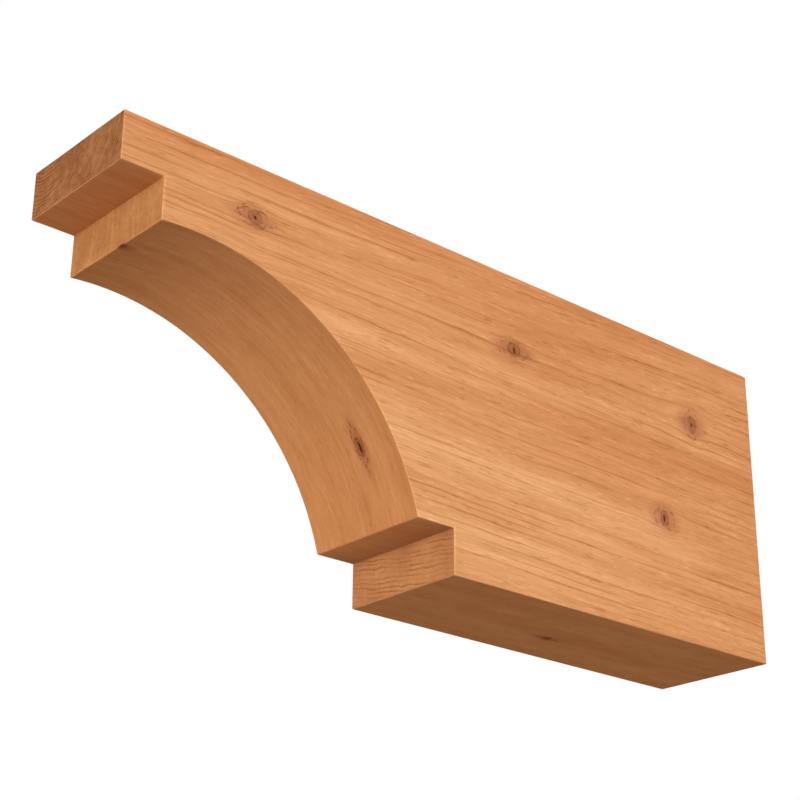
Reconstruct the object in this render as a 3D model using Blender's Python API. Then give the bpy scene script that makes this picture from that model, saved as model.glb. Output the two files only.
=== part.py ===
"""Rafter tail: the shaped timber end that carries an eave out past the wall.

It is one solid timber. The lower front is sawn to a classical profile: a plain nose, a
fillet, a cove and a second fillet, and then a flat heel that runs back to the wall.

Frame, in metres: the origin is the centre of the back face, which is planted on the wall.
+Y points out of that face, into the wall, so the tail reaches out along -Y. +Z is up, and
X runs across the width.

The profile is drawn in two lengths: reach, out from the wall, and height, up from the
underside of the heel.
"""

import math

import bmesh
import bpy
from mathutils import Vector

MM = 0.001

# The planed timber, before it is sawn to the profile.
WIDTH = 88.9 * MM
HEIGHT = 203.2 * MM
LENGTH = 508.0 * MM

# The nose: the upright face at the tip, and the level soffit behind it.
NOSE_HEIGHT = 30.0 * MM
NOSE_RUN = 27.0 * MM

# The upper fillet: the upright step from that soffit down to the start of the cove.
UPPER_FILLET_DROP = 26.0 * MM

# The cove: how far it runs back towards the wall, and how deep its arc bows into the timber
# behind the straight line between its two ends. Its fall is what the other heights leave.
COVE_RUN = 179.0 * MM
COVE_BOW = 40.0 * MM
COVE_SEGMENTS = 48

# The lower fillet: the level step behind the cove, and the upright step down to the heel.
LOWER_FILLET_RUN = 27.0 * MM
LOWER_FILLET_DROP = 27.5 * MM

# Every outer edge is eased by sanding. The two inner corners keep the crisp line of the saw.
ARRIS = 1.0 * MM
ARRIS_SEGMENTS = 2
SMALLEST_EASED_ANGLE = math.radians(12)

CEDAR_COLOUR = (0.62, 0.27, 0.11, 1.0)
CEDAR_ROUGHNESS = 0.55


def clear_scene():
    for obj in list(bpy.data.objects):
        bpy.data.objects.remove(obj, do_unlink=True)


def arc_between(start, end, bow, segments):
    """Points from start to end along the arc that bows to the right of the line between them."""
    chord = end - start
    half_chord = chord.length / 2
    along = chord.normalized()
    outward = Vector((along.y, -along.x))
    radius = (half_chord**2 + bow**2) / (2 * bow)
    centre = (start + end) / 2 - outward * (radius - bow)
    half_angle = math.atan2(half_chord, radius - bow)
    points = []
    for step in range(segments + 1):
        angle = half_angle * (2 * step / segments - 1)
        points.append(centre + radius * (math.cos(angle) * outward + math.sin(angle) * along))
    return points


def profile_points():
    """The closed outline as (reach, height), from the top of the nose round to the top of the back."""
    nose_soffit = HEIGHT - NOSE_HEIGHT
    cove_front_reach = LENGTH - NOSE_RUN
    cove_back_reach = cove_front_reach - COVE_RUN
    heel_reach = cove_back_reach - LOWER_FILLET_RUN
    cove_front = Vector((cove_front_reach, nose_soffit - UPPER_FILLET_DROP))
    cove_back = Vector((cove_back_reach, LOWER_FILLET_DROP))
    return [
        Vector((LENGTH, HEIGHT)),
        Vector((LENGTH, nose_soffit)),
        Vector((cove_front_reach, nose_soffit)),
        *arc_between(cove_front, cove_back, COVE_BOW, COVE_SEGMENTS),
        Vector((heel_reach, LOWER_FILLET_DROP)),
        Vector((heel_reach, 0.0)),
        Vector((0.0, 0.0)),
        Vector((0.0, HEIGHT)),
    ]


def sawn_blank():
    """A mesh of the timber with its profile sawn and its edges still sharp, lying in the frame."""
    outline = bpy.data.curves.new("profile", "CURVE")
    outline.dimensions = "2D"
    outline.fill_mode = "BOTH"
    outline.extrude = WIDTH / 2
    points = profile_points()
    spline = outline.splines.new("POLY")
    spline.points.add(len(points) - 1)
    for spot, point in zip(spline.points, points):
        spot.co = (point.x, point.y - HEIGHT / 2, 0.0, 1.0)
    spline.use_cyclic_u = True

    drawn = bpy.data.objects.new("profile", outline)
    bpy.context.scene.collection.objects.link(drawn)
    # This turns reach to -Y, height to +Z and the extrusion to X.
    drawn.rotation_euler = (math.pi / 2, 0.0, -math.pi / 2)
    bpy.context.view_layer.update()
    mesh = bpy.data.meshes.new_from_object(drawn.evaluated_get(bpy.context.evaluated_depsgraph_get()))
    mesh.transform(drawn.matrix_world)
    bpy.data.objects.remove(drawn, do_unlink=True)
    return mesh


def ease_outer_edges(mesh):
    """Welds the caps on, makes each side face one polygon, and rounds the outer edges."""
    bm = bmesh.new()
    bm.from_mesh(mesh)
    bmesh.ops.remove_doubles(bm, verts=bm.verts, dist=0.01 * MM)
    bmesh.ops.dissolve_limit(
        bm, angle_limit=math.radians(0.1), verts=bm.verts, edges=bm.edges, use_dissolve_boundaries=False
    )
    bmesh.ops.recalc_face_normals(bm, faces=bm.faces)
    outer = [edge for edge in bm.edges if edge.calc_face_angle_signed(0.0) > SMALLEST_EASED_ANGLE]
    bmesh.ops.bevel(
        bm,
        geom=outer,
        affect="EDGES",
        offset=ARRIS,
        segments=ARRIS_SEGMENTS,
        profile=0.5,
        material=-1,
        clamp_overlap=True,
    )
    bm.to_mesh(mesh)
    bm.free()


def cedar():
    material = bpy.data.materials.new("cedar")
    material.use_nodes = True
    shader = material.node_tree.nodes["Principled BSDF"]
    shader.inputs["Base Color"].default_value = CEDAR_COLOUR
    shader.inputs["Roughness"].default_value = CEDAR_ROUGHNESS
    shader.inputs["Metallic"].default_value = 0.0
    material.diffuse_color = CEDAR_COLOUR
    return material


def rafter_tail(collection):
    mesh = sawn_blank()
    ease_outer_edges(mesh)
    mesh.name = "rafter_tail"
    mesh.materials.clear()
    mesh.materials.append(cedar())
    mesh.shade_smooth()
    mesh.set_sharp_from_angle(angle=math.radians(20))
    timber = bpy.data.objects.new("rafter_tail", mesh)
    collection.objects.link(timber)
    return timber


clear_scene()
parts = bpy.data.collections.new("rafter tail")
bpy.context.scene.collection.children.link(parts)
rafter_tail(parts)
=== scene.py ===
"""Looks of the rafter tail: one cedar timber with its profile sawn, its arrises eased and its
knots, grain and end grain showing, in a pale studio, seen from below its near front corner.

The frame is in metres: the origin is the centre of the back face, the tail reaches out
along -Y, +Z is up and X runs across the width.
"""

import math
from collections import namedtuple

import bmesh
import bpy
from mathutils import Matrix, Vector, noise


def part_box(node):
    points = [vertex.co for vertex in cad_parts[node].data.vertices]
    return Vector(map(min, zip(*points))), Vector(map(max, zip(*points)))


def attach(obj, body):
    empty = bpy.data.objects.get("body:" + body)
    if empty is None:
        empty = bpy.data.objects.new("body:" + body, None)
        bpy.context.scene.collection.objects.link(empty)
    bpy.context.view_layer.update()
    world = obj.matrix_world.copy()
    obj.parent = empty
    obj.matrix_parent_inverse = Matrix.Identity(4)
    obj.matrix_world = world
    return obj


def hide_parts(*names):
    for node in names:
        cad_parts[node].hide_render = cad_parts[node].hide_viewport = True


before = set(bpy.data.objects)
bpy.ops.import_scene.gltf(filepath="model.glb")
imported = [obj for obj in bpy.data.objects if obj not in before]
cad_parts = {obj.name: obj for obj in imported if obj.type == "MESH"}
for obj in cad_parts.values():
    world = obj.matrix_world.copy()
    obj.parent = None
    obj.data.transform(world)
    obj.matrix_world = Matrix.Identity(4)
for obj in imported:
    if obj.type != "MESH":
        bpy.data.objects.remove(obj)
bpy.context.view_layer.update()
MM = 0.001


# The blank. A length of red cedar planed on four sides, and the profile that is sawn into
# its lower front: nose, upper fillet, cove, lower fillet and the flat heel behind them.
low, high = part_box("rafter_tail")
NOSE_HEIGHT = 30.0 * MM
NOSE_RUN = 27.0 * MM
UPPER_FILLET_DROP = 26.0 * MM
COVE_RUN = 179.0 * MM
COVE_BOW = 40.0 * MM
COVE_STEPS = 150
LOWER_FILLET_RUN = 27.0 * MM
LOWER_FILLET_DROP = 27.5 * MM
PROFILE_AXIS = Vector((1.0, 0.0, 0.0))

nose_soffit_z = high.z - NOSE_HEIGHT
cove_front = Vector((high.x, low.y + NOSE_RUN, nose_soffit_z - UPPER_FILLET_DROP))
cove_back = Vector((high.x, cove_front.y + COVE_RUN, low.z + LOWER_FILLET_DROP))
cove_chord = cove_back - cove_front
cove_radius = ((cove_chord.length / 2) ** 2 + COVE_BOW**2) / (2 * COVE_BOW)
cove_sweep = 2 * math.asin(cove_chord.length / 2 / cove_radius)
into_timber = PROFILE_AXIS.cross(cove_chord).normalized()
if into_timber.z < 0:
    into_timber.negate()
cove_centre = (cove_front + cove_back) / 2 - into_timber * (cove_radius - COVE_BOW)


def draw_on(bm, vert, step):
    """Carries the outline on from vert in a straight line, and returns its new end."""
    drawn = bmesh.ops.extrude_vert_indiv(bm, verts=[vert])["verts"][0]
    bmesh.ops.translate(bm, verts=[drawn], vec=step)
    return drawn


blank = bmesh.new()
first = blank.verts.new((high.x, low.y, high.z))
pen = draw_on(blank, first, (0, 0, -NOSE_HEIGHT))
pen = draw_on(blank, pen, (0, NOSE_RUN, 0))
pen = draw_on(blank, pen, (0, 0, -UPPER_FILLET_DROP))
swept = bmesh.ops.spin(
    blank,
    geom=[pen],
    cent=cove_centre,
    axis=PROFILE_AXIS,
    angle=-cove_sweep,
    steps=COVE_STEPS,
)
pen = next(item for item in swept["geom_last"] if isinstance(item, bmesh.types.BMVert))
pen = draw_on(blank, pen, (0, LOWER_FILLET_RUN, 0))
pen = draw_on(blank, pen, (0, 0, -LOWER_FILLET_DROP))
pen = draw_on(blank, pen, (0, high.y - pen.co.y, 0))
pen = draw_on(blank, pen, (0, 0, high.z - low.z))
blank.edges.new((pen, first))
bmesh.ops.contextual_create(blank, geom=blank.edges[:])
sawn = bmesh.ops.extrude_face_region(blank, geom=blank.faces[:])
far_side = [item for item in sawn["geom"] if isinstance(item, bmesh.types.BMVert)]
bmesh.ops.translate(blank, verts=far_side, vec=(low.x - high.x, 0, 0))
bmesh.ops.recalc_face_normals(blank, faces=blank.faces[:])


# The arrises. Every outer edge is eased with a sanding block, and the two inner corners keep
# the crisp line that the saw left.
ARRIS = 0.7 * MM
ARRIS_STEPS = 3
ROUND = 0.5
SHARPEST_SMOOTH_ANGLE = math.radians(12)

outer_edges = [
    edge
    for edge in blank.edges
    if edge.calc_face_angle_signed(0.0) > SHARPEST_SMOOTH_ANGLE
]
bmesh.ops.bevel(
    blank,
    geom=outer_edges,
    affect="EDGES",
    offset=ARRIS,
    segments=ARRIS_STEPS,
    profile=ROUND,
    material=-1,
    clamp_overlap=True,
)


# The skin. The faces are divided into a fine net, so that the grain can bend round the knots
# and the knots can stand in relief.
NET = 2.6 * MM
NET_MARGIN = 0.05 * MM


def divide(bm, axis, start, end):
    """Cuts the skin by planes across one axis, evenly spaced between start and end."""
    count = max(1, round((end - start) / NET))
    normal = Vector((0, 0, 0))
    normal[axis] = 1.0
    uncut = bm.faces[:]
    for step in range(1, count):
        place = start + (end - start) * step / count
        edges = {edge for face in uncut for edge in face.edges}
        verts = {vert for face in uncut for vert in face.verts}
        cut = bmesh.ops.bisect_plane(
            bm,
            geom=[*uncut, *edges, *verts],
            dist=NET_MARGIN,
            plane_co=normal * place,
            plane_no=normal,
        )
        uncut = [
            item
            for item in cut["geom"]
            if isinstance(item, bmesh.types.BMFace) and item.calc_center_median()[axis] > place
        ]


divide(blank, 0, low.x + ARRIS, high.x - ARRIS)
divide(blank, 2, low.z + ARRIS, high.z - ARRIS)
divide(blank, 1, low.y + ARRIS, high.y - ARRIS)


# Where each patch of skin lies on the timber. Along runs with the fibres and across runs over
# them, so each planed face, the cove and each end has its own pair of lengths.
END_HEARTS = {
    "nose": Vector((-0.030, 0.122)),
    "upper_fillet": Vector((-0.300, 0.050)),
    "lower_fillet": Vector((0.090, 0.500)),
    "back": Vector((-0.030, 0.122)),
}
FIBRE_SHIFT = {
    "near_side": 0.0,
    "far_side": 0.7,
    "top": 1.4,
    "under": 2.1,
    "cove": 2.8,
}
SIDE_FACING = 0.55
LEVEL_FACING = 0.7


def skin_of(face):
    """Which part of the timber's skin a face belongs to."""
    centre = face.calc_center_median()
    normal = face.normal
    if abs(normal.x) > SIDE_FACING:
        return "near_side" if normal.x > 0 else "far_side"
    from_axis = math.hypot(centre.y - cove_centre.y, centre.z - cove_centre.z)
    if cove_front.y < centre.y < cove_back.y and abs(from_axis - cove_radius) < ARRIS:
        return "cove"
    if normal.z > LEVEL_FACING:
        return "top"
    if normal.z < -LEVEL_FACING:
        return "under"
    if normal.y > 0:
        return "back"
    if centre.z > nose_soffit_z:
        return "nose"
    return "upper_fillet" if centre.z > 0 else "lower_fillet"


def fibre_place(skin, point):
    """How far along and across the fibres a point of that skin is."""
    if skin in END_HEARTS:
        return Vector((point.x, point.z))
    if skin in ("near_side", "far_side"):
        return Vector((-point.y, point.z))
    if skin == "cove":
        angle = math.atan2(point.y - cove_centre.y, point.z - cove_centre.z)
        return Vector((angle * cove_radius, point.x))
    return Vector((-point.y, point.x))


# The knots. Small tight ones where a branch was cut through, each with a dark split heart, a
# reddened halo and some rings and specks of its own, and the fibres part to run round it.
Knot = namedtuple(
    "Knot",
    "skin along across half_length half_width heart_length heart_width ringed speckled",
)


def knot(skin, *sizes, ringed, speckled):
    """A knot of that skin, from its sizes in millimetres."""
    return Knot(skin, *(size * MM for size in sizes), ringed, speckled)


KNOTS = [
    knot("near_side", 421.2, 69.3, 4.8, 4.2, 0.85, 1.25, ringed=0.35, speckled=1.0),
    knot("near_side", 225.0, 51.5, 5.2, 4.3, 0.75, 2.6, ringed=0.1, speckled=0.6),
    knot("near_side", 61.4, 48.4, 4.4, 6.0, 1.0, 1.6, ringed=1.0, speckled=0.2),
    knot("near_side", 93.6, -24.3, 4.2, 5.0, 1.15, 2.6, ringed=0.2, speckled=0.8),
    knot("cove", 166.0, 16.6, 5.4, 2.9, 3.2, 1.3, ringed=0.0, speckled=0.9),
    knot("cove", -19.4, 6.2, 2.8, 2.4, 0.5, 0.5, ringed=0.0, speckled=0.0),
    knot("under", 147.0, -9.7, 3.8, 2.6, 1.5, 0.9, ringed=0.2, speckled=0.4),
    knot("far_side", 350.0, 58.0, 5.0, 4.6, 0.8, 1.6, ringed=0.6, speckled=0.6),
    knot("far_side", 140.0, 12.0, 4.2, 4.0, 0.7, 1.9, ringed=0.2, speckled=0.8),
    knot("far_side", 48.0, -62.0, 4.4, 4.9, 0.8, 1.3, ringed=0.8, speckled=0.3),
    knot("top", 300.0, 8.0, 4.4, 3.6, 0.9, 1.2, ringed=0.5, speckled=0.5),
    knot("top", 96.0, -17.0, 3.6, 3.2, 0.7, 1.6, ringed=0.2, speckled=0.8),
]
KNOT_REACH = 6.0
FINE_REACH = 1.7
FINE_CUTS = 5
FLOW_ALONG = 3.4
FLOW_ACROSS = 1.9
FLOW_PUSH = 0.50
FAR_FROM_KNOTS = Vector((9.0, 9.0))
PLAIN = Vector((0.0, 0.0))


def in_knot(branch, place):
    """Where a place is as seen from a knot: its rim is one away from its heart."""
    along = (place.x - branch.along) / branch.half_length
    across = (place.y - branch.across) / branch.half_width
    return Vector((along, across))


def in_heart(branch, place):
    """Where a place is in the split at a knot's heart: the split's rim is one away."""
    along = (place.x - branch.along) / branch.heart_length
    across = (place.y - branch.across) / branch.heart_width
    return Vector((along, across))


def near_knot(skin, place, reach):
    """The knot of that skin that has the place within its reach, or None."""
    for branch in KNOTS:
        if branch.skin == skin and in_knot(branch, place).length < reach:
            return branch
    return None


fine = []
for face in blank.faces:
    skin = skin_of(face)
    if near_knot(skin, fibre_place(skin, face.calc_center_median()), FINE_REACH):
        fine.append(face)
fine_edges = list({edge for face in fine for edge in face.edges})
bmesh.ops.subdivide_edges(blank, edges=fine_edges, cuts=FINE_CUTS, use_grid_fill=True)


# Relief. Each knot has shrunk in its socket: its rim has sunk, its heart has split, and the
# eased arrises waver a little, as hand work does.
RIM_DEPTH = 0.12 * MM
RIM_WIDTH = 0.13
SPLIT_DEPTH = 0.5 * MM
WAVER = 0.15 * MM
WAVERS_A_METRE = 55.0
BEND_OF_ARRIS = math.radians(8)

blank.normal_update()
sunk = {}
for face in blank.faces:
    skin = skin_of(face)
    for vert in face.verts:
        place = fibre_place(skin, vert.co)
        near = near_knot(skin, place, FINE_REACH)
        if near is None or vert in sunk:
            continue
        rim = math.exp(-(((in_knot(near, place).length - 1.0) / RIM_WIDTH) ** 2))
        split = near.speckled * math.exp(-(in_heart(near, place).length ** 2))
        sunk[vert] = face.normal * -(RIM_DEPTH * rim + SPLIT_DEPTH * split)
eased = set()
for vert in blank.verts:
    bend = max((vert.normal.angle(face.normal) for face in vert.link_faces), default=0.0)
    if bend > BEND_OF_ARRIS:
        eased.add(vert)
        if vert not in sunk:
            wave = noise.noise(vert.co * WAVERS_A_METRE)
            sunk[vert] = vert.normal * -WAVER * (0.5 + 0.5 * wave)
for vert, move in sunk.items():
    vert.co += move


# Laying out the fibres. The grain map holds how far along and across them each point is, bent
# round the knots. The knot maps hold its place in the nearest knot and in that knot's heart,
# and the knot's rings and specks. The last map marks the eased arrises, which take a painted
# highlight, and the inner corners, which take painted shade.
grain_map = blank.loops.layers.uv.new("grain")
knot_map = blank.loops.layers.uv.new("knot")
heart_map = blank.loops.layers.uv.new("knot_heart")
kind_map = blank.loops.layers.uv.new("knot_kind")
highlight_and_shade_map = blank.loops.layers.uv.new("highlight_and_shade")
FINISHES = ["planed", "sawn", "nose_end", "fillet_end", "ringed_end"]
FINISH_OF = {
    "near_side": "planed",
    "far_side": "planed",
    "top": "planed",
    "under": "sawn",
    "cove": "sawn",
    "nose": "nose_end",
    "back": "nose_end",
    "upper_fillet": "fillet_end",
    "lower_fillet": "ringed_end",
}
GRAIN_SLOPE = 0.028
TOP_SLOPE = -0.024
SLOPE_TURNS = (30.0 * MM, 85.0 * MM)
SLOPE_PIVOT = 254.0 * MM
UPPER_CORNER = low.y + NOSE_RUN
LOWER_CORNER = cove_back.y + LOWER_FILLET_RUN
# Painted shade on the soffits, darkest in the inner corner behind each, and how far it reaches.
UPPER_SHADE = 0.25
LOWER_SHADE = 1.0
CORNER_REACH = 27.0 * MM
SHARP_FROM = math.radians(40)


def ease_in(value, start, end):
    """A smooth step of value, from zero at start to one at end."""
    share = min(1.0, max(0.0, (value - start) / (end - start)))
    return share * share * (3 - 2 * share)


def fibres_at(skin, place):
    """The grain map of a place: its lengths, bent by the grain's slope and the knots."""
    across = place.y
    if skin in ("near_side", "far_side"):
        slope = GRAIN_SLOPE + (TOP_SLOPE - GRAIN_SLOPE) * ease_in(place.y, *SLOPE_TURNS)
        across -= slope * (place.x - SLOPE_PIVOT)
    for branch in KNOTS:
        if branch.skin == skin:
            seen = in_knot(branch, place)
            fall = math.exp(-((seen.x / FLOW_ALONG) ** 2) - (seen.y / FLOW_ACROSS) ** 2)
            across -= FLOW_PUSH * seen.y * branch.half_width * fall
    return Vector((place.x, across + FIBRE_SHIFT[skin]))


def in_corner(skin, point):
    """How much painted shade a point of a soffit takes: the most is in the inner corner behind
    it.
    """
    if skin != "under" or point.z < low.z + LOWER_FILLET_DROP / 2:
        return 0.0
    upper = point.z > 0
    corner = UPPER_CORNER if upper else LOWER_CORNER
    shade = UPPER_SHADE if upper else LOWER_SHADE
    return shade * ease_in(point.y, corner - CORNER_REACH, corner)


for face in blank.faces:
    skin = skin_of(face)
    face.material_index = FINISHES.index(FINISH_OF[skin])
    face.smooth = True
    near = near_knot(skin, fibre_place(skin, face.calc_center_median()), KNOT_REACH)
    for loop in face.loops:
        place = fibre_place(skin, loop.vert.co)
        at_end = skin in END_HEARTS
        loop[grain_map].uv = place - END_HEARTS[skin] if at_end else fibres_at(skin, place)
        loop[knot_map].uv = in_knot(near, place) if near else FAR_FROM_KNOTS
        loop[heart_map].uv = in_heart(near, place) if near else FAR_FROM_KNOTS
        loop[kind_map].uv = (near.ringed, near.speckled) if near else PLAIN
        # The last map: a painted highlight on the eased arrises, and painted shade in the
        # soffit corners.
        loop[highlight_and_shade_map].uv = (float(loop.vert in eased), in_corner(skin, loop.vert.co))

mesh = bpy.data.meshes.new("cedar_rafter_tail")
blank.to_mesh(mesh)
blank.free()
mesh.set_sharp_from_angle(angle=SHARP_FROM)
timber = bpy.data.objects.new("cedar_rafter_tail", mesh)
bpy.context.scene.collection.objects.link(timber)
keep_faces_flat = timber.modifiers.new("keep_faces_flat", "WEIGHTED_NORMAL")
keep_faces_flat.keep_sharp = True


# The finishes. Each is one shader, fed by clouds of noise, smooth steps and bands that the
# maps above lay out, and each turns redder as it darkens.
REDDENING = (0.70, 1.0, 1.42)
DARKEST_AT = 0.93
EDGE_AT = 0.94


def srgb(red, green, blue):
    """A colour as it is seen on a screen, in the linear light that shaders use."""
    parts = [value / 255 for value in (red, green, blue)]
    return (*(p / 12.92 if p <= 0.04045 else ((p + 0.055) / 1.055) ** 2.4 for p in parts), 1.0)


class Finish:
    """A wood finish under construction: its shader, and short ways to add nodes to it."""

    def __init__(self, name):
        self.material = bpy.data.materials.new(name)
        self.material.use_nodes = True
        self.tree = self.material.node_tree
        self.shader = self.tree.nodes["Principled BSDF"]

    def feed(self, socket, value):
        if isinstance(value, bpy.types.NodeSocket):
            self.tree.links.new(value, socket)
        else:
            socket.default_value = value

    def node(self, kind, feeds, **options):
        made = self.tree.nodes.new(kind)
        for option, value in options.items():
            setattr(made, option, value)
        for name, value in feeds.items():
            self.feed(made.inputs[name], value)
        return made

    def sum(self, operation, *values):
        made = self.node("ShaderNodeMath", {}, operation=operation)
        for place, value in enumerate(values):
            self.feed(made.inputs[place], value)
        return made.outputs[0]

    def add(self, total, value, share):
        """The total, and a share of value added to it."""
        return self.sum("MULTIPLY_ADD", value, share, total)

    def times(self, *values):
        product = values[0]
        for value in values[1:]:
            product = self.sum("MULTIPLY", product, value)
        return product

    def length(self, x, y):
        return self.sum("SQRT", self.sum("ADD", self.times(x, x), self.times(y, y)))

    def ease(self, value, start, end, at_start=0.0, at_end=1.0):
        """A smooth step of value, from at_start to at_end."""
        feeds = {
            "Value": value,
            "From Min": start,
            "From Max": end,
            "To Min": at_start,
            "To Max": at_end,
        }
        made = self.node("ShaderNodeMapRange", feeds, interpolation_type="SMOOTHSTEP")
        return made.outputs[0]

    def band(self, value, rises, full, falls, gone):
        """One from full to falls, and nothing before it rises and after it is gone."""
        return self.times(
            self.ease(value, rises, full),
            self.ease(value, falls, gone, 1.0, 0.0),
        )

    def point(self, x, y, z=0.0):
        return self.node("ShaderNodeCombineXYZ", {"X": x, "Y": y, "Z": z}).outputs[0]

    def cloud(self, x, y, blotches, run=1.0, detail=2.0, roughness=0.5):
        """Noise about zero, mostly within a quarter either way, and run times shorter in x."""
        x_scale, y_scale, seed = blotches
        place = self.point(self.times(x, x_scale * run), self.times(y, y_scale), seed)
        feeds = {"Vector": place, "Scale": 1.0, "Detail": detail, "Roughness": roughness}
        made = self.node("ShaderNodeTexNoise", feeds)
        return self.sum("SUBTRACT", made.outputs["Fac"], 0.5)

    def mix(self, share, one, other, blend="MIX"):
        """The first colour, with that share of the other mixed in or multiplied over it."""
        made = self.node("ShaderNodeMix", {}, data_type="RGBA", blend_type=blend)
        self.feed(made.inputs[0], share)
        self.feed(made.inputs[6], one)
        self.feed(made.inputs[7], other)
        return made.outputs[2]

    def toned(self, colour, tone):
        """The colour made lighter or darker by tone: wood turns redder as it darkens."""
        shares = (self.sum("MULTIPLY_ADD", tone, depth, 1.0) for depth in REDDENING)
        return self.mix(1.0, colour, self.point(*shares), "MULTIPLY")

    def map(self, name):
        """The two lengths of one of the piece's own maps."""
        made = self.node("ShaderNodeUVMap", {}, uv_map=name)
        split = self.node("ShaderNodeSeparateXYZ", {"Vector": made.outputs[0]})
        return split.outputs[0], split.outputs[1]

    def late_wood(self, years, start):
        """Dark late wood: it grows from start in each year and ends at the year's edge."""
        return self.band(self.sum("FRACT", years), start, DARKEST_AT, EDGE_AT, 1.0)

    def finished(self, colour, roughness, height, bump, specular):
        """The material, with its colour, roughness and bump joined to the shader."""
        strength, distance = bump
        feeds = {"Height": height, "Strength": strength, "Distance": distance}
        self.feed(self.shader.inputs["Base Color"], colour)
        self.feed(self.shader.inputs["Roughness"], roughness)
        self.feed(self.shader.inputs["Normal"], self.node("ShaderNodeBump", feeds).outputs[0])
        self.shader.inputs["Specular IOR Level"].default_value = specular
        return self.material


# The looks of the knots. A dark core with a burr, a broken rim and a ring, specks in an almond
# round it, a frayed halo along the fibres and a split heart. Edges are counted from the heart,
# with the rim at one. Clouds are given as blotches in a metre along and across, and a seed.
KNOT_CORE = (0.75, 0.71, 0.65, 1.0)
KNOT_HEART = (0.32, 0.13, 0.025, 1.0)
KNOT_SPECK = (0.52, 0.36, 0.28, 1.0)
KNOT_HALO = (0.70, 0.59, 0.63, 1.0)
RIPPLE = (290.0, 290.0, 7.7)
BREAKS = (190.0, 230.0, 3.9)
BURR = (520.0, 520.0, 6.9)
SPECKS = (260.0, 700.0, 1.1)
FRAY = (30.0, 260.0, 2.9)
CORE_EDGE = (0.84, 1.16)
INNER_EDGE = (0.10, 0.85)
RIM = (0.80, 0.94, 0.98, 1.10)
RING = (1.42, 1.60, 1.64, 1.80)
RIM_RIPPLE = 0.8
RIM_BREAKS = (-0.14, 0.08, 0.1, 1.0)
RING_BREAKS = (-0.10, 0.04, 0.1, 1.0)
ALMOND_SLIMNESS = 0.56
ALMOND_RIPPLE = 0.35
EYELID = (1.10, 1.24, 1.28, 1.42)
EYELID_BREAKS = (0.0, 0.10, 0.0, 0.6)
SPECKLED = (0.95, 1.15, 1.35, 2.0)
SPECK_EDGE = (0.09, 0.17)
HALO_SLIMNESS = (0.30, 0.56)
HALO_FRAY = 0.9
HALO_EDGE = (0.25, 1.40)
HALO_STRENGTH = 0.95
HEART_RIPPLE = 1.6
HEART_BREAKS = 0.8
HEART_EDGE = (0.55, 1.25)
CORE_STRENGTH = 0.85
GRAIN_LEFT_IN_CORE = 0.3
BURR_TONE = 0.9
RIM_TONE = -0.48
INNER_TONE = -0.14
RING_TONE = -0.32
KnotMarks = namedtuple("KnotMarks", "core inner rim ring burr specks halo heart")


def knot_marks(f, along, straight, across):
    """The marks of the knots on a finish: nothing where it is clear of them, one at most."""
    knot_along, knot_across = f.map("knot")
    ringed, speckled = f.map("knot_kind")
    ripple = f.cloud(along, straight, RIPPLE)
    breaks = f.cloud(along, straight, BREAKS, detail=1.0)
    burr = f.cloud(along, straight, BURR)
    out = f.add(f.length(knot_along, knot_across), ripple, RIM_RIPPLE)
    core = f.ease(out, *CORE_EDGE, 1.0, 0.0)
    inner = f.ease(out, *INNER_EDGE, 1.0, 0.0)
    rim = f.times(f.band(out, *RIM), f.ease(breaks, *RIM_BREAKS))
    ring = f.times(f.band(out, *RING), ringed, f.ease(breaks, *RING_BREAKS))

    # An almond round the knot, with dark specks and a broken line along its lids.
    almond = f.length(f.times(knot_along, ALMOND_SLIMNESS), knot_across)
    almond = f.add(almond, ripple, ALMOND_RIPPLE)
    eyelid = f.times(f.band(almond, *EYELID), f.ease(breaks, *EYELID_BREAKS))
    specks = f.ease(f.cloud(along, straight, SPECKS, detail=1.0), *SPECK_EDGE)
    specks = f.times(specks, f.band(almond, *SPECKLED))
    specks = f.times(f.sum("MAXIMUM", specks, eyelid), speckled)

    # The frayed halo about it, and the split in its heart.
    halo_along, halo_across = HALO_SLIMNESS
    halo = f.length(f.times(knot_along, halo_along), f.times(knot_across, halo_across))
    halo = f.add(halo, f.cloud(along, across, FRAY), HALO_FRAY)
    halo = f.ease(halo, *HALO_EDGE, HALO_STRENGTH, 0.0)
    heart = f.add(f.length(*f.map("knot_heart")), ripple, HEART_RIPPLE)
    heart = f.ease(f.add(heart, breaks, HEART_BREAKS), *HEART_EDGE, 1.0, 0.0)
    return KnotMarks(core, inner, rim, ring, burr, specks, halo, heart)


# The planed and sawn faces. Red cedar: pink-brown and tan bands, a thin dark line of late wood
# at each year's edge with a painted highlight just past it, fine fibres between, and the knots.
# Each mark takes its own share of a finish's depths, and a share below nothing darkens.
TAN = srgb(233, 171, 121)
PINK = srgb(212, 141, 91)
# Painted highlight, lighter and bluer, along the eased arrises.
ARRIS_HIGHLIGHT = (1.10, 1.14, 1.20, 1.0)
# Painted shade in the soffits' inner corners.
CORNER_SHADE = (0.72, 0.79, 0.85, 1.0)
WANDER = (2.6, 7.0, 1.7)
WANDER_BY = 16.0 * MM
WOBBLE = (26.0, 60.0, 5.1)
WOBBLE_BY = 2.2 * MM
UNEVEN = (0.4, 70.0, 9.3)
UNEVEN_BY = 2.0
LATE_FROM = 0.62
FADING = (7.0, 3.7, 2.2)
LATE_STRENGTH = (-0.12, 0.20, 0.04, 1.0)
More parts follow.
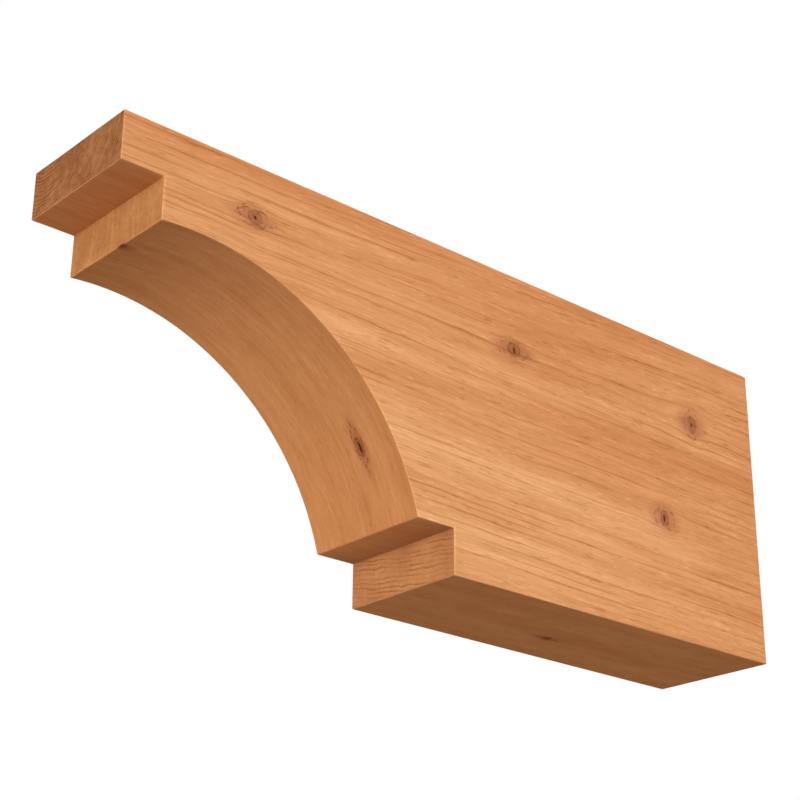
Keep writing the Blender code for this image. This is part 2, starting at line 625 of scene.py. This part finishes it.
# A painted highlight just past each year's dark line, where raised grain would catch the light.
HIGHLIGHT_FADES = (0.02, 0.16)
FAINTS_A_YEAR = 2.7
FAINT_UNEVEN_BY = 3.0
FAINT_FROM = 0.50
PARTING = (12.0, 5.3, 4.2)
FAINT_STRENGTH = (-0.04, 0.18, 0.0, 1.0)
BROAD = (5.0, 130.0, 3.3)
FINE = (32.0, 560.0, 4.4)
MOTTLE = (42.0, 120.0, 6.1)
DASHES = (100.0, 900.0, 6.6)
DARK_DASHES = (0.13, 0.24)
LIGHT_DASHES = (-0.13, -0.24)
HIGHLIGHT_SHARE = 0.16
FAINT_SHARE = -0.55
BROAD_SHARE = 0.46
FINE_SHARE = 0.50
DARK_DASH_SHARE = -0.26
LIGHT_DASH_SHARE = 0.22
PALE_BY_REACH = (0.05, -0.30)
PALE_BY_HEIGHT = (0.09, -0.05)
BANDS = (3.0, 22.0, 8.8)
BAND_SHARE = 1.35
STREAKS = (4.5, 52.0, 12.8)
STREAK_SHARE = 1.15
LATE_RELIEF = 0.9
FINE_RELIEF = 0.9
DASH_RELIEF = 0.5
KNOT_RELIEF = -0.6
LONG_BUMP = (0.35, 0.12 * MM)
LONG_ROUGHNESS = 0.57
FINE_ROUGHNESS = 0.14
LATE_ROUGHNESS = -0.06
LONG_SPECULAR = 0.15


def long_grain(name, years_apart, line_depth, fibre_depth, mottle_depth, run, pinkest, palest):
    """Wood seen along its fibres, with the knots; its streaks are longer the smaller run is."""
    f = Finish(name)
    along, straight = f.map("grain")

    # Years' edges wander slowly and wobble a little, and their spacing is uneven.
    across = f.add(straight, f.cloud(along, straight, WANDER, detail=1.0), WANDER_BY)
    across = f.add(across, f.cloud(along, straight, WOBBLE), WOBBLE_BY)
    uneven = f.cloud(along, across, UNEVEN, detail=1.0)
    years = f.add(f.times(across, 1 / years_apart), uneven, UNEVEN_BY)
    fading = f.cloud(along, f.sum("FLOOR", years), FADING, run)
    strength = f.ease(fading, *LATE_STRENGTH)
    late = f.times(f.late_wood(years, LATE_FROM), strength)
    # A painted highlight just past each year's dark line, as if the raised grain caught the
    # light.
    grain_highlight = f.times(f.ease(f.sum("FRACT", years), *HIGHLIGHT_FADES, 1.0, 0.0), strength)
    faints = f.times(across, FAINTS_A_YEAR / years_apart)
    faints = f.add(faints, uneven, FAINT_UNEVEN_BY)
    parting = f.cloud(along, f.sum("FLOOR", faints), PARTING, run)
    faint = f.times(f.late_wood(faints, FAINT_FROM), f.ease(parting, *FAINT_STRENGTH))

    # Fibres: broad streaks, fine ones, and short dark and light dashes where vessels open.
    broad = f.cloud(along, across, BROAD, run)
    fine = f.cloud(along, across, FINE, run, detail=3.0, roughness=0.6)
    mottle = f.cloud(along, across, MOTTLE)
    dashes = f.cloud(along, across, DASHES, run, detail=1.0)
    dark_dash = f.ease(dashes, *DARK_DASHES)
    light_dash = f.ease(dashes, *LIGHT_DASHES)
    tone = f.times(late, -line_depth)
    tone = f.add(tone, grain_highlight, HIGHLIGHT_SHARE * line_depth)
    tone = f.add(tone, faint, FAINT_SHARE * line_depth)
    tone = f.add(tone, broad, BROAD_SHARE * fibre_depth)
    tone = f.add(tone, fine, FINE_SHARE * fibre_depth)
    tone = f.add(tone, dark_dash, DARK_DASH_SHARE * fibre_depth)
    tone = f.add(tone, light_dash, LIGHT_DASH_SHARE * fibre_depth)
    tone = f.add(tone, mottle, mottle_depth)

    # The colour: bands of pink and tan, paler towards the lower front.
    here = f.node("ShaderNodeTexCoord", {}).outputs["Object"]
    here = f.node("ShaderNodeSeparateXYZ", {"Vector": here})
    by_reach = f.ease(here.outputs["Y"], *PALE_BY_REACH)
    by_height = f.ease(here.outputs["Z"], *PALE_BY_HEIGHT)
    pinkness = f.add(pinkest, f.times(by_reach, by_height), palest - pinkest)
    pinkness = f.add(pinkness, f.cloud(along, across, BANDS), BAND_SHARE * fibre_depth)
    pinkness = f.add(pinkness, f.cloud(along, across, STREAKS), STREAK_SHARE * fibre_depth)
    colour = f.mix(pinkness, TAN, PINK)

    # The knots take the place of the fibres, and the painted highlight on the eased arrises and
    # the painted shade in the inner corners lie over all.
    marks = knot_marks(f, along, straight, across)
    tone = f.times(tone, f.add(1.0, marks.core, GRAIN_LEFT_IN_CORE - 1.0))
    tone = f.add(tone, f.times(marks.burr, marks.core), BURR_TONE)
    tone = f.add(tone, marks.rim, RIM_TONE)
    tone = f.add(tone, marks.inner, INNER_TONE)
    tone = f.add(tone, marks.ring, RING_TONE)
    colour = f.toned(colour, tone)
    # Its two channels: a painted highlight on the eased arrises and painted shade in the inner
    # corners.
    arris_highlight, corner_shade = f.map("highlight_and_shade")
    for share, stain in (
        (marks.halo, KNOT_HALO),
        (f.times(marks.core, CORE_STRENGTH), KNOT_CORE),
        (marks.specks, KNOT_SPECK),
        (marks.heart, KNOT_HEART),
        # painted highlight on the eased arrises
        (arris_highlight, ARRIS_HIGHLIGHT),
        # painted shade in the soffits' inner corners
        (corner_shade, CORNER_SHADE),
    ):
        colour = f.mix(share, colour, stain, "MULTIPLY")

    # Late wood is denser: it stands a little proud and takes a duller polish.
    height = f.add(f.times(late, LATE_RELIEF), fine, FINE_RELIEF)
    height = f.add(height, f.sum("SUBTRACT", light_dash, dark_dash), DASH_RELIEF)
    height = f.add(height, f.sum("ADD", marks.specks, marks.heart), KNOT_RELIEF)
    roughness = f.add(f.add(LONG_ROUGHNESS, fine, FINE_ROUGHNESS), late, LATE_ROUGHNESS)
    return f.finished(colour, roughness, height, LONG_BUMP, LONG_SPECULAR)


for finish in (
    long_grain(
        "planed_cedar",
        years_apart=5.0 * MM,
        line_depth=0.35,
        fibre_depth=0.95,
        mottle_depth=0.20,
        run=1.0,
        pinkest=0.72,
        palest=0.16,
    ),
    long_grain(
        "sawn_cedar",
        years_apart=4.2 * MM,
        line_depth=0.11,
        fibre_depth=0.60,
        mottle_depth=0.26,
        run=1.8,
        pinkest=0.74,
        palest=0.74,
    ),
):
    mesh.materials.append(finish)


# The end grain. The saw crosses the fibres at the nose, the fillets and the back, so the
# years show as thin arcs about the heart of the tree, in thirstier wood.
END_WANDER = (75.0, 75.0, 1.3)
END_UNEVEN = (90.0, 0.0, 2.0)
END_STROKES = (48.0, 3.7, 4.0)
END_BROAD = (50.0, 26.0, 6.0)
END_MOTTLE = (240.0, 240.0, 7.0)
END_PORES = (900.0, 900.0, 8.0)
END_WANDER_BY = 4.2 * MM
END_UNEVEN_BY = 1.6
END_LATE_FROM = 0.40
STROKE_STRENGTH = (-0.14, 0.16, 0.15, 1.0)
BROAD_EDGE = (-0.25, 0.25)
PORE_TONE = 0.45
END_LATE_RELIEF = 0.8
PORE_RELIEF = 0.9
END_BUMP = (0.4, 0.15 * MM)
END_ROUGHNESS = 0.68
PORE_ROUGHNESS = 0.15
END_SPECULAR = 0.12


def end_grain(name, pale, dark, years_apart, line_depth, mottle_depth):
    """Wood seen end on: arcs about the grain map's own zero."""
    f = Finish(name)
    sideways, upwards = f.map("grain")
    out = f.length(sideways, upwards)
    out = f.add(out, f.cloud(sideways, upwards, END_WANDER, detail=3.0), END_WANDER_BY)
    uneven = f.cloud(out, out, END_UNEVEN, detail=1.0)
    years = f.add(f.times(out, 1 / years_apart), uneven, END_UNEVEN_BY)
    lean = f.sum("ADD", sideways, upwards)
    strokes = f.cloud(lean, f.sum("FLOOR", years), END_STROKES)
    late = f.times(f.late_wood(years, END_LATE_FROM), f.ease(strokes, *STROKE_STRENGTH))
    broad = f.cloud(sideways, upwards, END_BROAD)
    mottle = f.cloud(sideways, upwards, END_MOTTLE, detail=3.0, roughness=0.6)
    pores = f.cloud(sideways, upwards, END_PORES)
    tone = f.add(f.times(late, -line_depth), mottle, mottle_depth)
    tone = f.add(tone, pores, PORE_TONE)
    colour = f.toned(f.mix(f.ease(broad, *BROAD_EDGE), pale, dark), tone)
    height = f.add(f.times(late, END_LATE_RELIEF), pores, PORE_RELIEF)
    roughness = f.add(END_ROUGHNESS, pores, PORE_ROUGHNESS)
    return f.finished(colour, roughness, height, END_BUMP, END_SPECULAR)


for finish in (
    end_grain(
        "nose_end_grain",
        pale=srgb(182, 127, 89),
        dark=srgb(160, 106, 69),
        years_apart=2.3 * MM,
        line_depth=0.62,
        mottle_depth=1.1,
    ),
    end_grain(
        "fillet_end_grain",
        pale=srgb(214, 153, 103),
        dark=srgb(187, 126, 81),
        years_apart=5.0 * MM,
        line_depth=0.17,
        mottle_depth=0.50,
    ),
    end_grain(
        "ringed_end_grain",
        pale=srgb(215, 153, 107),
        dark=srgb(197, 134, 91),
        years_apart=2.8 * MM,
        line_depth=0.44,
        mottle_depth=0.40,
    ),
):
    mesh.materials.append(finish)

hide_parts("rafter_tail")
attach(timber, "root")


# The studio. A pale floor well below the tail, a broad soft light beside its near face, a
# weaker one in front, dim warm air, and three faint lights for the timber's other faces.
FLOOR_DROP = 0.9
FLOOR_HALF = 30.0
FLOOR_PAINT = (0.34, 0.36, 0.38, 1.0)
FLOOR_ROUGHNESS = 0.9
FLOOR_GLOW = 0.66
FLOOR_AS_FELT = (0.373, 0.352, 0.322, 1.0)
WHITE = (1.0, 1.0, 1.0, 1.0)
AIR_AS_FELT = (1.0, 0.73, 0.49, 1.0)
AIR_STRENGTH = 0.44

floor = bmesh.new()
bmesh.ops.create_grid(floor, x_segments=1, y_segments=1, size=FLOOR_HALF)
bmesh.ops.translate(floor, verts=floor.verts[:], vec=(0, 0, low.z - FLOOR_DROP))
floor_mesh = bpy.data.meshes.new("studio_floor")
floor.to_mesh(floor_mesh)
floor.free()
studio_floor = bpy.data.objects.new("studio_floor", floor_mesh)
bpy.context.scene.collection.objects.link(studio_floor)


def seen_or_felt(tree, seen, felt, surface):
    """What the camera sees there, and what lights the timber from there, are two shaders."""
    ray = tree.nodes.new("ShaderNodeLightPath")
    choice = tree.nodes.new("ShaderNodeMixShader")
    tree.links.new(ray.outputs["Is Camera Ray"], choice.inputs[0])
    tree.links.new(felt.outputs[0], choice.inputs[1])
    tree.links.new(seen.outputs[0], choice.inputs[2])
    tree.links.new(choice.outputs[0], surface)


floor_paint = bpy.data.materials.new("pale_floor")
floor_paint.use_nodes = True
paint = floor_paint.node_tree
pale_paint = paint.nodes["Principled BSDF"]
pale_paint.inputs["Base Color"].default_value = FLOOR_PAINT
pale_paint.inputs["Emission Color"].default_value = WHITE
pale_paint.inputs["Emission Strength"].default_value = FLOOR_GLOW
pale_paint.inputs["Roughness"].default_value = FLOOR_ROUGHNESS
dull_paint = paint.nodes.new("ShaderNodeBsdfDiffuse")
dull_paint.inputs["Color"].default_value = FLOOR_AS_FELT
seen_or_felt(paint, pale_paint, dull_paint, paint.nodes["Material Output"].inputs["Surface"])
floor_mesh.materials.append(floor_paint)

world = bpy.data.worlds.new("studio")
bpy.context.scene.world = world
world.use_nodes = True
air = world.node_tree
backdrop = air.nodes["Background"]
backdrop.inputs["Color"].default_value = WHITE
fill = air.nodes.new("ShaderNodeBackground")
fill.inputs["Color"].default_value = AIR_AS_FELT
fill.inputs["Strength"].default_value = AIR_STRENGTH
seen_or_felt(air, backdrop, fill, air.nodes["World Output"].inputs["Surface"])

middle = (low + high) / 2


def softbox(name, azimuth, elevation, distance, size, spread, watts, colour=WHITE[:3]):
    """A square soft light aimed at the middle of the tail."""
    lamp = bpy.data.lights.new(name, "AREA")
    lamp.shape = "SQUARE"
    lamp.size = size
    lamp.spread = math.radians(spread)
    lamp.energy = watts
    lamp.color = colour
    box = bpy.data.objects.new(name, lamp)
    bpy.context.scene.collection.objects.link(box)
    turn, tilt = math.radians(azimuth), math.radians(elevation)
    out = math.cos(tilt)
    aim = Vector((math.sin(turn) * out, -math.cos(turn) * out, math.sin(tilt)))
    box.location = middle + aim * distance
    box.rotation_euler = aim.to_track_quat("Z", "Y").to_euler()
    box.visible_camera = False


softbox(
    "side_light",
    azimuth=90,
    elevation=8,
    distance=3.0,
    size=2.0,
    spread=70,
    watts=13.0,
    colour=(0.93, 1.0, 0.985),
)
softbox(
    "front_light",
    azimuth=0,
    elevation=-8,
    distance=3.0,
    size=1.6,
    spread=70,
    watts=9.3,
    colour=(1.0, 1.0, 0.87),
)
softbox("top_light", azimuth=200, elevation=70, distance=2.6, size=1.6, spread=50, watts=4.2)
softbox("back_light", azimuth=215, elevation=20, distance=3.0, size=1.8, spread=50, watts=6.0)
softbox("far_light", azimuth=262, elevation=20, distance=3.0, size=1.8, spread=50, watts=4.6)


# The camera, below the tail and off its near front corner, at the photograph's angle.
LENS = 81.6
SENSOR_WIDTH = 36.0
NEAREST_SEEN = 10.0 * MM
CAMERA_PLACE = Vector((0.74686, -0.92921, -0.41298))
CAMERA_LOOK = Vector((-0.69099, 0.60318, 0.39838))
CAMERA_ROLL = math.radians(0.46)
camera = bpy.data.objects.new("camera", bpy.data.cameras.new("camera"))
camera.data.lens = LENS
camera.data.sensor_width = SENSOR_WIDTH
camera.data.clip_start = NEAREST_SEEN
camera.location = CAMERA_PLACE
level = CAMERA_LOOK.to_track_quat("-Z", "Y").to_matrix()
camera.rotation_euler = (level @ Matrix.Rotation(CAMERA_ROLL, 3, "Z")).to_euler()
bpy.context.scene.collection.objects.link(camera)
bpy.context.scene.camera = camera
bpy.context.scene.view_settings.view_transform = "Standard"
